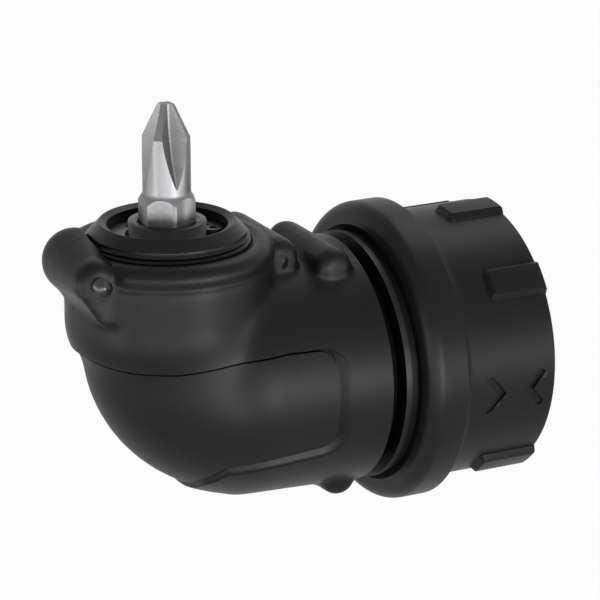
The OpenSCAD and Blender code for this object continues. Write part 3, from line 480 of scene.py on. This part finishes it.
def studio():
    """The camera, the lights, the floor and the world."""
    a, e = math.radians(CAMERA_TURN), math.radians(CAMERA_RISE)
    right = Vector((math.cos(a), -math.sin(a), 0))
    ahead = Vector((math.sin(a) * math.cos(e), math.cos(a) * math.cos(e), -math.sin(e)))
    up = right.cross(ahead)
    to_right, above, before = CAMERA_PLACE
    eye = to_right * right + above * up - before * ahead - Vector((AXIS_TO_MOUTH, 0, 0))
    camera = bpy.data.objects.new("Camera", bpy.data.cameras.new("Camera"))
    bpy.context.scene.collection.objects.link(camera)
    camera.matrix_world = Matrix((
        (right.x, up.x, -ahead.x, eye.x * MM),
        (right.y, up.y, -ahead.y, eye.y * MM),
        (right.z, up.z, -ahead.z, eye.z * MM),
        (0, 0, 0, 1),
    ))
    camera.data.sensor_width = SENSOR
    camera.data.lens = FOCAL_PIXELS / PICTURE_PIXELS * SENSOR
    camera.data.clip_start, camera.data.clip_end = 0.05, 20
    bpy.context.scene.camera = camera

    floor_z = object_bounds()[0].z
    centre = Vector((LIGHTS_X, 0, floor_z + CARD_MIDDLE))

    def lamp(name, azimuth, elevation, distance, width, height, power):
        """A soft box, placed by its direction from the object: azimuth 0 is the camera's side."""
        turn = math.radians(azimuth) - math.pi / 2 - a
        rise = math.radians(elevation)
        out = Vector((math.cos(turn) * math.cos(rise), math.sin(turn) * math.cos(rise), math.sin(rise)))
        light = bpy.data.lights.new(name, "AREA")
        light.shape = "RECTANGLE"
        light.size, light.size_y, light.energy = width, height, power
        box = bpy.data.objects.new(name, light)
        bpy.context.scene.collection.objects.link(box)
        box.location = centre + out * distance
        box.rotation_mode = "QUATERNION"
        box.rotation_quaternion = out.to_track_quat("Z", "Y")
        box.visible_camera = False

    # The low cards stand on the floor round the front, the strongest of them to the right.
    for azimuth, power in CARDS:
        lamp("Card %d" % azimuth, azimuth, 0, CARD_DISTANCE, CARD_WIDTH, CARD_HEIGHT, power)
    lamp("Back soft box", *BACK_BOX)

    deselect()
    bpy.ops.mesh.primitive_plane_add(size=8, location=(0, 0, floor_z))
    floor = bpy.context.object
    floor.name = "Floor"
    p = Paint("Pale floor")
    matt = p.node("ShaderNodeBsdfDiffuse", {}, {"Color": (0.5, 0.5, 0.5, 1)})
    white = p.node("ShaderNodeEmission", {}, {"Color": (1, 1, 1, 1), "Strength": 1})
    p.node_output(p.node("ShaderNodeMixShader", {}, {0: p.seen() * FLOOR_WHITE, 1: matt, 2: white}))
    floor.data.materials.append(p.data)

    w = Paint("Studio", world=True)
    strength = WORLD_LIGHT + w.seen() * (1 - WORLD_LIGHT)
    w.node_output(
        w.node("ShaderNodeBackground", {}, {"Color": (1, 1, 1, 1), "Strength": strength}),
        "ShaderNodeOutputWorld",
    )
    bpy.context.scene.world = w.data
    bpy.context.scene.view_settings.view_transform = "Standard"


# Housing
def rounded(corners, steps=8):
    """An outline with rounded corners, given as (x, y, radius)."""
    points = []
    count = len(corners)
    for i, (x, y, r) in enumerate(corners):
        here = Vector((x, y))
        before = (Vector(corners[i - 1][:2]) - here).normalized()
        after = (Vector(corners[(i + 1) % count][:2]) - here).normalized()
        if r <= 0:
            points.append((x, y))
            continue
        half = before.angle(after) / 2
        reach = r / math.tan(half)
        start, end = here + before * reach, here + after * reach
        middle = here + (before + after).normalized() * (r / math.sin(half))
        a0 = math.atan2(*(start - middle).yx)
        a1 = math.atan2(*(end - middle).yx)
        while a1 - a0 > math.pi:
            a1 -= 2 * math.pi
        while a1 - a0 < -math.pi:
            a1 += 2 * math.pi
        angles = [a0 + (a1 - a0) * k / steps for k in range(steps + 1)]
        points += [(middle.x + r * math.cos(t), middle.y + r * math.sin(t)) for t in angles]
    return points


# The guard's seat in the plane of the elbow, as (x, z, radius of the corner): its upper edge,
# the mouth of the pocket, and the guard inside the pocket's bevel
GUARD_TOP = [(-16, 6.6, 0), (-13, 6.3, 0), (-11.4, 5.85, 0), (-10.2, 5.6, 0), (-8.6, 5.5, 0), (-4, 5.55, 0),
             (10, 6.8, 0)]
GUARD_MOUTH = GUARD_TOP + [
    (17.6, 6.6, 3.2), (17.6, -7.4, 3.4), (7.5, -8.4, 0), (2.9, -9.2, 0), (1.2, -11.4, 1), (1.2, -20, 0),
    (-16, -20, 0),
]
GUARD_EDGE = GUARD_TOP + [
    (16.3, 6.62, 2.4), (16.3, -6.3, 2.2), (7.0, -7.4, 0), (2.5, -8.2, 0), (0.6, -10.8, 1), (0.6, -20, 0),
    (-16, -20, 0),
]

# Clearance round the guard, and under its upper edge
GUARD_GAP = 0.1
GUARD_TOP_GAP = 0.38
# Depths below the housing's face: of the pocket's floor, the guard's face and the foot of the bevel
POCKET_DEEP = 1.0
GUARD_DEEP = 0.45
BEVEL_DEEP = 0.85
# Share of the bevel's depth that even its upper edge has
BEVEL_LEAST = 0.04

# Turned profiles as (distance from the axis, place along it)
HEAD = [
    (0, 4), (10.8, 4), (11.6, 4.5), (12.1, 5.2), (12.7, 6.3), (12.95, 8.5), (12.9, 11), (13.1, 16),
    (12.7, 16.6), (12.2, 17.6), (10, 18.2), (0, 18.2),
]
BARREL = [(0, 1)] + arc(8.4, 8, 7, -90, 0) + [(15.9, 23.4), (15.97, 26), (0, 26)]
LIP = [(0, 17), (10, 17)] + arc(11.55, 17.5, 1.6, -60, 120, 16) + [(9.8, 18.75), (0, 18.75)]

# The three skins that are laid over the housing, as (grid, rounds of smoothing), each finer than
# the one before
ROUGH_SKIN = (0.45, 4)
MIDDLE_SKIN = (0.4, 5)
FINE_SKIN = (0.26, 3)

# The outer bend: centre (x, z), its reach and half width at the head and at the barrel, the number
# of its steps, and the place along X of its last section
BEND_CENTRE = (8.79, 6)
BEND_REACH = (20.14, 21.4)
BEND_HALF = (12.9, 15.4)
BEND_SECTIONS = 13
BEND_END_X = 15.4
# How far the section inside the head stands above the first one of the bend
BEND_LEAD = 2

# The hollows that join the head to the barrel, at a distance from the spindle's axis, and to the
# elbow, at a height, and how often they are smoothed
HOLLOW_R = 12.8
HOLLOW_Z = 4.5
HOLLOW_ROUNDS = 70

# Screw bosses as (x, z, radius, front end and back end along Y, rounding of the ends)
BOSS_A = (-12.5, 17, 2.9, -7.8, -1, 1.5)
BOSS_B = (12.5, 16, 2.9, -6.5, 8.8, 1.5)
BOSS_C = (19.2, 14.7, 2.5, -8.8, 7.2, 1.6)
BOSS_D = (20.1, -13.5, 2.4, -8.6, 8.8, 1.6)

# At the head's boss: the lobe behind it, as (start, radius, end, radius), and the web under it,
# as (x, z), with the web's ends along Y
BOSS_A_LOBE = ((-12.5, -4.6, 17), 2.9, (-11.2, 3, 17.05), 4.1)
BOSS_A_WEB = [(-15.0, 15.8), (-12.3, 11.6), (-9.0, 11.6), (-9.0, 17), (-12, 18)]
BOSS_A_WEB_ENDS = (-7.7, 3)

# The room for the gears, whose wall is an arc given as (radius, height of its centre, distance of that
# past the axis), the room for the gear case over it, and the rooms for bearings and bushes in the barrel
GEAR_ROOM = (16.3, 6.3, 6.8)
GEAR_ROOM_HEIGHTS = (-6.1, -3.8, -1.6, 0.6, 2.8, 5)
CASE_ROOM_TOP = [(11, 8.5), (11, 17.1), (10.55, 17.1), (10.55, 22), (0, 22)]
BARREL_ROOM = [
    (0, 3.2), (9.3, 3.2), (9.3, 6.5), (13, 6.5), (13, 16.2), (9.3, 16.2), (9.3, 18.3), (13, 18.3), (13, 21.1),
    (11.8, 21.1), (11.8, 30), (0, 30),
]
BARREL_END = 23.4
# Half the gap between the two halves of the housing
PARTING = 0.03
# Places along Y on either side of the housing, and a distance that lies beyond all of it
THROUGH = (-20, 20)
BEYOND = 60


def outline_distance(points, outline):
    """Signed distance of points to a closed outline, negative inside it."""
    p = np.asarray(points, float)
    a = np.asarray(outline, float)
    b = np.roll(a, -1, axis=0)
    best = np.full(len(p), 1e9)
    inside = np.zeros(len(p), bool)
    for (ax, ay), (bx, by) in zip(a, b):
        dx, dy = bx - ax, by - ay
        t = np.clip(((p[:, 0] - ax) * dx + (p[:, 1] - ay) * dy) / (dx * dx + dy * dy), 0, 1)
        best = np.minimum(best, np.hypot(p[:, 0] - ax - t * dx, p[:, 1] - ay - t * dy))
        crosses = (ay > p[:, 1]) != (by > p[:, 1])
        x = ax + (p[:, 1] - ay) * dx / (dy if dy else 1e-9)
        inside ^= crosses & (p[:, 0] < x)
    return np.where(inside, -best, best)


def weigh(piece, name, weights):
    """Gives a piece a group of corners with their weights, and returns the group's name."""
    group = piece.vertex_groups.new(name=name)
    for index in np.nonzero(weights > 0.001)[0]:
        group.add([int(index)], float(weights[index]), "REPLACE")
    return group.name


def vertices(piece):
    """The places of a piece's corners, one row for each."""
    co = np.zeros(len(piece.data.vertices) * 3, np.float32)
    piece.data.vertices.foreach_get("co", co)
    return co.reshape(-1, 3).astype(float)


def ramp(values, none, full):
    """Nought to one: how far values have come from one place to another."""
    return np.clip((values - none) / (full - none), 0, 1)


def eased(share):
    """A share of the way, with a soft start and a soft end."""
    return share * share * (3 - 2 * share)


def boss(name, x, z, r, front, back, end):
    """A screw boss across the housing, with domed ends."""
    front_end = arc(r - end, front + end, end, -90, 0, 8)
    back_end = arc(r - end, back - end, end, 0, 90, 8)
    return turned(name, "Y", [(0, front)] + front_end + back_end + [(0, back)], (x, 0, z), BOSS_STEPS)


def bend(name):
    """The outer bend: round sections, fanned out about a centre in the plane of the elbow."""
    def ring(x, z, r, turn):
        bpy.ops.mesh.primitive_circle_add(
            vertices=BEND_STEPS, radius=r, location=(x, 0, z), rotation=(0, -turn, 0),
        )
        return bpy.context.object

    deselect()
    rings = []
    for i in range(-1, BEND_SECTIONS + 1):
        # The section before the first one stands above it, inside the head.
        part = max(i, 0) / BEND_SECTIONS
        turn = math.radians(90) * part
        r = BEND_HALF[0] + (BEND_HALF[1] - BEND_HALF[0]) * eased(part)
        out = BEND_REACH[0] + (BEND_REACH[1] - BEND_REACH[0]) * part * part - r
        x = BEND_CENTRE[0] - out * math.cos(turn)
        z = BEND_CENTRE[1] - out * math.sin(turn) + (BEND_LEAD if i < 0 else 0)
        rings.append(ring(x, z, r, turn))
    end_z = BEND_CENTRE[1] - BEND_REACH[1] + BEND_HALF[1]
    rings.append(ring(BEND_END_X, end_z, BEND_HALF[1], math.pi / 2))
    piece = join(name, *rings)
    apply_place()
    bpy.ops.object.mode_set(mode="EDIT")
    bpy.ops.mesh.select_mode(type="EDGE")
    bpy.ops.mesh.select_all(action="SELECT")
    bpy.ops.mesh.bridge_edge_loops()
    bpy.ops.mesh.select_all(action="SELECT")
    bpy.ops.mesh.fill_holes(sides=0)
    bpy.ops.mesh.select_all(action="SELECT")
    bpy.ops.mesh.normals_make_consistent(inside=False)
    bpy.ops.mesh.select_mode(type="VERT")
    bpy.ops.object.mode_set(mode="OBJECT")
    return piece


def housing_form():
    """The outer form of the housing before anything is cut into it."""
    head = turned("head", "Z", HEAD)
    elbow = bend("elbow")
    barrel = turned("barrel", "X", BARREL)
    body = skin(join("housing", head, elbow, barrel), *ROUGH_SKIN)

    # The head runs into the barrel and into the elbow in wide hollows.
    co = vertices(body)
    out = np.hypot(co[:, 0], co[:, 1])
    near = ramp(np.abs(out - HOLLOW_R), 4.8, 1.8) * ramp(co[:, 0], 2, 6) * ramp(co[:, 2], 15, 11)
    under = ramp(np.abs(co[:, 2] - HOLLOW_Z), 4.5, 1.5) * ramp(co[:, 0], 9, 5)
    hollow = weigh(body, "hollow", np.maximum(near, under))
    modify(body, "SMOOTH", factor=0.5, iterations=HOLLOW_ROUNDS, vertex_group=hollow)
    return join(
        "housing", body,
        boss("boss_a", *BOSS_A),
        rod("boss_a_lobe", *BOSS_A_LOBE),
        prism("boss_a_web", BOSS_A_WEB, "Y", *BOSS_A_WEB_ENDS),
        boss("boss_b", *BOSS_B),
        boss("boss_c", *BOSS_C),
        boss("boss_d", *BOSS_D),
    )


def with_top_raised(outline):
    """The outline with its upper edge out of reach, so that it takes no part in the bevel."""
    return [(x, z + (3 if z > 4 else 0)) for x, z in outline]


def make_housing():
    """The two halves of the housing and the guard, all from one form."""
    mouth, edge = rounded(GUARD_MOUTH), rounded(GUARD_EDGE)
    form = skin(housing_form(), *MIDDLE_SKIN)
    form = skin(join("housing", form, turned("lip", "Z", LIP)), *FINE_SKIN)

    deep = copied(form, "deep")
    modify(deep, "DISPLACE", strength=-POCKET_DEEP, mid_level=0)
    face = copied(form, "face")
    modify(face, "DISPLACE", strength=-GUARD_DEEP, mid_level=0)
    shrunk = rounded([
        (x - GUARD_GAP * (x > 0), z + (GUARD_GAP if z < 0 else -GUARD_TOP_GAP), r) for x, z, r in GUARD_EDGE
    ])
    guard = boolean(face, prism("edge", shrunk, "Y", *THROUGH), "INTERSECT")
    cut(guard, copied(deep, "under"))
    guard.name = "elbow_guard_panel"

    # The mouth of the pocket is bevelled inwards, apart from its crisp upper edge.
    bevelled = copied(form, "bevelled")
    co = vertices(bevelled)
    to_mouth = -outline_distance(co[:, [0, 2]], with_top_raised(mouth))
    to_edge = outline_distance(co[:, [0, 2]], with_top_raised(edge))
    slope = np.where(to_mouth > 0, to_mouth / (np.maximum(to_mouth, 0) + np.maximum(to_edge, 0) + 1e-6), 0)
    bevel = weigh(bevelled, "bevel", BEVEL_LEAST + (1 - BEVEL_LEAST) * eased(slope))
    modify(bevelled, "DISPLACE", strength=-BEVEL_DEEP, mid_level=0, vertex_group=bevel)
    cut(form, cut(prism("mouth", mouth, "Y", *THROUGH), bevelled))
    cut(form, cut(prism("pocket", edge, "Y", *THROUGH), deep))

    r, middle, past = GEAR_ROOM
    wall = [(math.sqrt(r ** 2 - (z - middle) ** 2) - past, z) for z in GEAR_ROOM_HEIGHTS]
    cut(
        form,
        turned("case_room", "Z", [(0, GEAR_ROOM_HEIGHTS[0])] + wall + CASE_ROOM_TOP),
        turned("barrel_room", "X", BARREL_ROOM),
        block("beyond", (BARREL_END, -BEYOND, -BEYOND), (BEYOND, BEYOND, BEYOND)),
    )
    right = copied(form, "housing_right_half")
    form.name = "housing_left_half"
    cut(form, block("right_room", (-BEYOND, -PARTING, -BEYOND), (BEYOND, BEYOND, BEYOND)))
    cut(right, block("left_room", (-BEYOND, -BEYOND, -BEYOND), (BEYOND, PARTING, BEYOND)))
    finished(form, "housing", "housing_plastic", LOOKS["housing_plastic"], "housing_left")
    finished(right, "housing", "housing_plastic", LOOKS["housing_plastic"], "housing_right")
    finished(guard, "housing", "guard_plastic", LOOKS["guard_plastic"], "elbow_guard")


# Gear case, circlip and bit

# The height where the frame's gear case is cut off, and the bezel over it, from its seat over the bead
# and the rim to the circlip's groove
CASE_TOP = 18.05
BEZEL = (
    [(7.5, 17.8), (9.9, 17.8), (10.1, 18.4)] + arc(9.95, 18.9, 0.45, -50, 60, 10)
    + [(9.95, 19.4), (10.15, 19.48)] + arc(10.1, 19.6, 0.1, 0, 40, 4)
    + [(9.72, 20.12)] + arc(9.5, 20.05, 0.25, 20, 45, 4) + arc(8.4, 21.38, 0.14, 45, 115, 6)
    + [(7.58, 21.14)] + arc(7.6, 21.04, 0.1, 115, 180, 4)
    + [(7.5, 19.8), (8.05, 19.8), (8.05, 19.1), (7.5, 19.1), (7.5, 17.8)]
)


def make_gear_case():
    """The gear case of the frame, with a finer bezel."""
    case = from_cad("gear_case", "gear_case_body")
    bisect(case, (0, 0, CASE_TOP), (0, 0, 1))
    case = join("gear_case_body", case, turned("bezel", "Z", BEZEL, steps=CLOSE_STEPS))
    finished(case, "housing", "case_metal", LOOKS["case_metal"], "gear_case", sharp=30)


# The circlip's underside and top, its ring and its plain end as (inner radius, outer radius, first
# and last azimuth), and its lug with an eye
CLIP_LOW = 19.17
CLIP_HIGH = 19.73
CLIP_RING = (6.3, 8, 4, 166)
CLIP_END = (5.25, 7.4, 124, 166)
LUG_AZIMUTH = -2
LUG_DISTANCE = 6.2
LUG_R = 1.2
EYE_R = 0.5


def polar(r, azimuth):
    """The place at a distance and an azimuth in degrees from the origin."""
    return (r * math.cos(math.radians(azimuth)), r * math.sin(math.radians(azimuth)))


def make_circlip():
    """The circlip round the spindle, with a lug at one end and a plain end."""
    def sector(name, inner, outer, start, end):
        outline = [polar(outer, t) for t in range(start, end + 1, 3)]
        outline += [polar(inner, t) for t in range(end, start - 1, -3)]
        return prism(name, outline, "Z", CLIP_LOW, CLIP_HIGH)

    def disc(name, r, start, end):
        profile = [(0, start), (r, start), (r, end), (0, end)]
        return turned(name, "Z", profile, (*polar(LUG_DISTANCE, LUG_AZIMUTH), 0), LUG_STEPS)

    clip = sector("output_circlip_ring", *CLIP_RING)
    boolean(clip, sector("clip_end", *CLIP_END), "UNION")
    boolean(clip, disc("clip_lug", LUG_R, CLIP_LOW, CLIP_HIGH), "UNION")
    cut(clip, disc("clip_eye", EYE_R, CLIP_LOW - 1, CLIP_HIGH + 1))
    softened(clip, 0.06, 2, 40)
    finished(clip, "housing", "clip_steel", LOOKS["clip_steel"], "output_circlip")


# The bit: its hexagon, the turned neck that bounds it, the round shank with the point, and the
# grinding wheel that cuts the four flutes
HEX_CORNER_R = 3.666
HEX_TURN = 23
HEX_FOOT = 12.5
HEX_TOP = 25.7
BIT_TOP = 36.4
NECK = (
    [(0, HEX_FOOT), (3.1, HEX_FOOT), (3.9, 13.3), (3.9, 23.58), (3.25, 24.75)]
    + arc(3.9, 25.35, 0.9, 210, 180, 5) + [(3.0, HEX_TOP), (0, HEX_TOP)]
)
SHANK = (
    [(0, 25), (3, 25), (3, 32.3)] + arc(2.6, 32.2, 0.4, 5, 25, 3) + [(1.16, 36.12)]
    + arc(0.75, 35.98, 0.42, 26, 90, 6) + [(0, BIT_TOP)]
)
WHEEL = [(0, -24.13)] + arc(23.0, 0, 0.3, -44, 44, 6) + [(0, 24.13)]
WHEEL_CENTRE = (23.9, 0, BIT_TOP)


def make_bit():
    """The bit: a hexagonal bar with a turned neck, its round shank and the four flutes."""
    corners = [polar(HEX_CORNER_R, HEX_TURN + 60 * i) for i in range(6)]
    bar = prism("screwdriver_bit_steel", corners, "Z", HEX_FOOT, HEX_TOP)
    softened(bar, 0.12, 3, 50)
    boolean(bar, turned("neck", "Z", NECK, steps=BIT_STEPS), "INTERSECT")
    boolean(bar, turned("shank", "Z", SHANK, steps=BIT_STEPS), "UNION")
    for turn in (0, 90, 180, 270):
        cut(bar, turned_about(turned("flute", "Y", WHEEL, WHEEL_CENTRE, WHEEL_STEPS), "Z", turn))
    softened(bar, 0.07, 2, 38)
    finished(bar, "bit", "bit_steel", LOOKS["bit_steel"], "screwdriver_bit", sharp=30)


# Lock collar

# Its outside, from the flange's front over the cove and the barrel to the rear face. The barrel's
# face is split along its length, so that the pads and arrows don't disturb its shading.
COLLAR_INSIDE = [(0, 20), (16.75, 20), (16.75, 50), (0, 50)]
COLLAR_OUTSIDE = (
    [(16.6, 27.08)] + arc(17.5, 28.98, 1.9, -90, 0, 14) + arc(19.25, 32.1, 0.15, 0, 90, 4)
    + arc(19.3, 34.2, 1.9, -92, -180, 14) + [(17.4, 34.8 + 0.55 * i) for i in range(19)]
    + arc(17, 45.65, 0.4, 0, 90, 8) + [(16.6, 46.05), (16.6, 27.08)]
)

# Grip pads: seven, with a free place for the arrows. The foot is drawn as (x, z, radius), and the
# faces lie between two places along Y, under the form that bounds their tops.
PAD_FOOT = [(37.9, -2.25, 0.9), (48, -2.25, 0), (48, 2.25, 0), (37.9, 2.25, 0.9)]
PAD_LOW = -16.8
PAD_FACE = -17.35
PAD_INSET = 0.75
PAD_RISE = 1.2
PAD_OVER = [(0, 30), (18.25, 30)] + arc(17.95, 45.6, 0.3, 0, 90, 5) + [(0, 45.9)]
PADS = 7
PAD_STEP = 45
PAD_LEAD = 5.2

# Arrows: the place of each tip and the way that it points, and the arms' length, lean and half width
ARROWS = ((38.25, 1), (42.2, -1))
ARROW_TURN = 7
ARROW_FLOOR = -16.9
ARM_END = (1.75, 2.05)
ARM_LEAN = 49.5
ARM_HALF = 0.5
TIP_HALF = 0.66


def chevron(tip, way):
    """The outline of an arrow head with rounded ends, in (X, Z)."""
    x, z = tip - way * ARM_END[0], ARM_END[1]
    cap = arc(0, 0, ARM_HALF, 90 - ARM_LEAN, 270 - ARM_LEAN, 10)
    arm = [(x + way * dx, z + dz) for dx, dz in cap]
    upper = [(tip + way * TIP_HALF, 0)] + arm + [(tip - way * TIP_HALF, 0)]
    return upper + [(px, -pz) for px, pz in upper[-2:0:-1]]


def make_collar():
    """The collar: the frame's inside, and an outside with grip pads and arrows."""
    inner = from_cad("lock_collar", "lock_collar_body")
    boolean(inner, turned("inside", "X", COLLAR_INSIDE), "INTERSECT")
    outer = turned("outside", "X", COLLAR_OUTSIDE, steps=CLOSE_STEPS)
    foot = rounded(PAD_FOOT, 6)
    for i in range(1, PADS + 1):
        pad = raised(prism("pad", foot, "Y", PAD_LOW, PAD_FACE), PAD_FACE, PAD_INSET, PAD_RISE)
        boolean(pad, turned("over", "X", PAD_OVER, steps=CLOSE_STEPS), "INTERSECT")
        softened(pad, 0.34, 4, 22)
        boolean(outer, turned_about(pad, "X", PAD_STEP * i + PAD_LEAD), "UNION")
    for tip, way in ARROWS:
        arrow = prism("arrow", chevron(tip, way), "Y", ARROW_FLOOR, -20)
        cut(outer, turned_about(arrow, "X", ARROW_TURN))
    boolean(inner, outer, "UNION")
    finished(inner, "collar", "collar_plastic", LOOKS["collar_plastic"], "lock_collar", sharp=20)


def moved(screws, low, high, side, way):
    """Moves the screw between two places along X, above (1) or below (-1) the shank."""
    pick(screws, "VERT", lambda vertex: low < vertex.co.x < high and vertex.co.z * side > 0)
    bpy.ops.transform.translate(value=way)
    bpy.ops.object.mode_set(mode="OBJECT")


# Nodes that are drawn anew above, and those that stay as they are in the frame
DRAWN = {
    "housing_left", "housing_right", "elbow_guard", "gear_case", "output_circlip", "screwdriver_bit",
    "lock_collar",
}
KEPT = {"detent_spring_upper", "detent_spring_lower"}

# Turned rings whose low chamfers stay crisp
RINGS = {"adapter_sleeve", "thrust_ring", "collar_snap_ring"}

# The screws follow the bosses: between two places along X, above or below the shank, and the way they move
SCREW_MOVES = ((-20, -5, 1, (0, -2.7, 0)), (15, 25, 1, (0, -1.4, 0)), (15, 25, -1, (1.1, 0, 1.4)))


def make_rest():
    """The parts whose shape is already right are taken from the frame and smoothed."""
    bodies = {node: body for body, nodes in frame["record"]["behaviour"]["bodies"].items() for node in nodes}
    for row in frame["record"]["subparts"]:
        node, slot = row["node"], row["material_slot"]
        if node not in DRAWN | KEPT:
            part = from_cad(node, node + "_part")
            if node == "housing_screws":
                for move in SCREW_MOVES:
                    moved(part, *move)
            finished(part, bodies[node], slot, LOOKS[slot], node, sharp=12 if node in RINGS else 32)
        # The frame's own nodes get their looks too, because the kept ones are seen.
        frame["nodes"][node].data.materials.clear()
        frame["nodes"][node].data.materials.append(LOOKS[slot])


studio()
make_housing()
make_gear_case()
make_circlip()
make_bit()
make_collar()
make_rest()
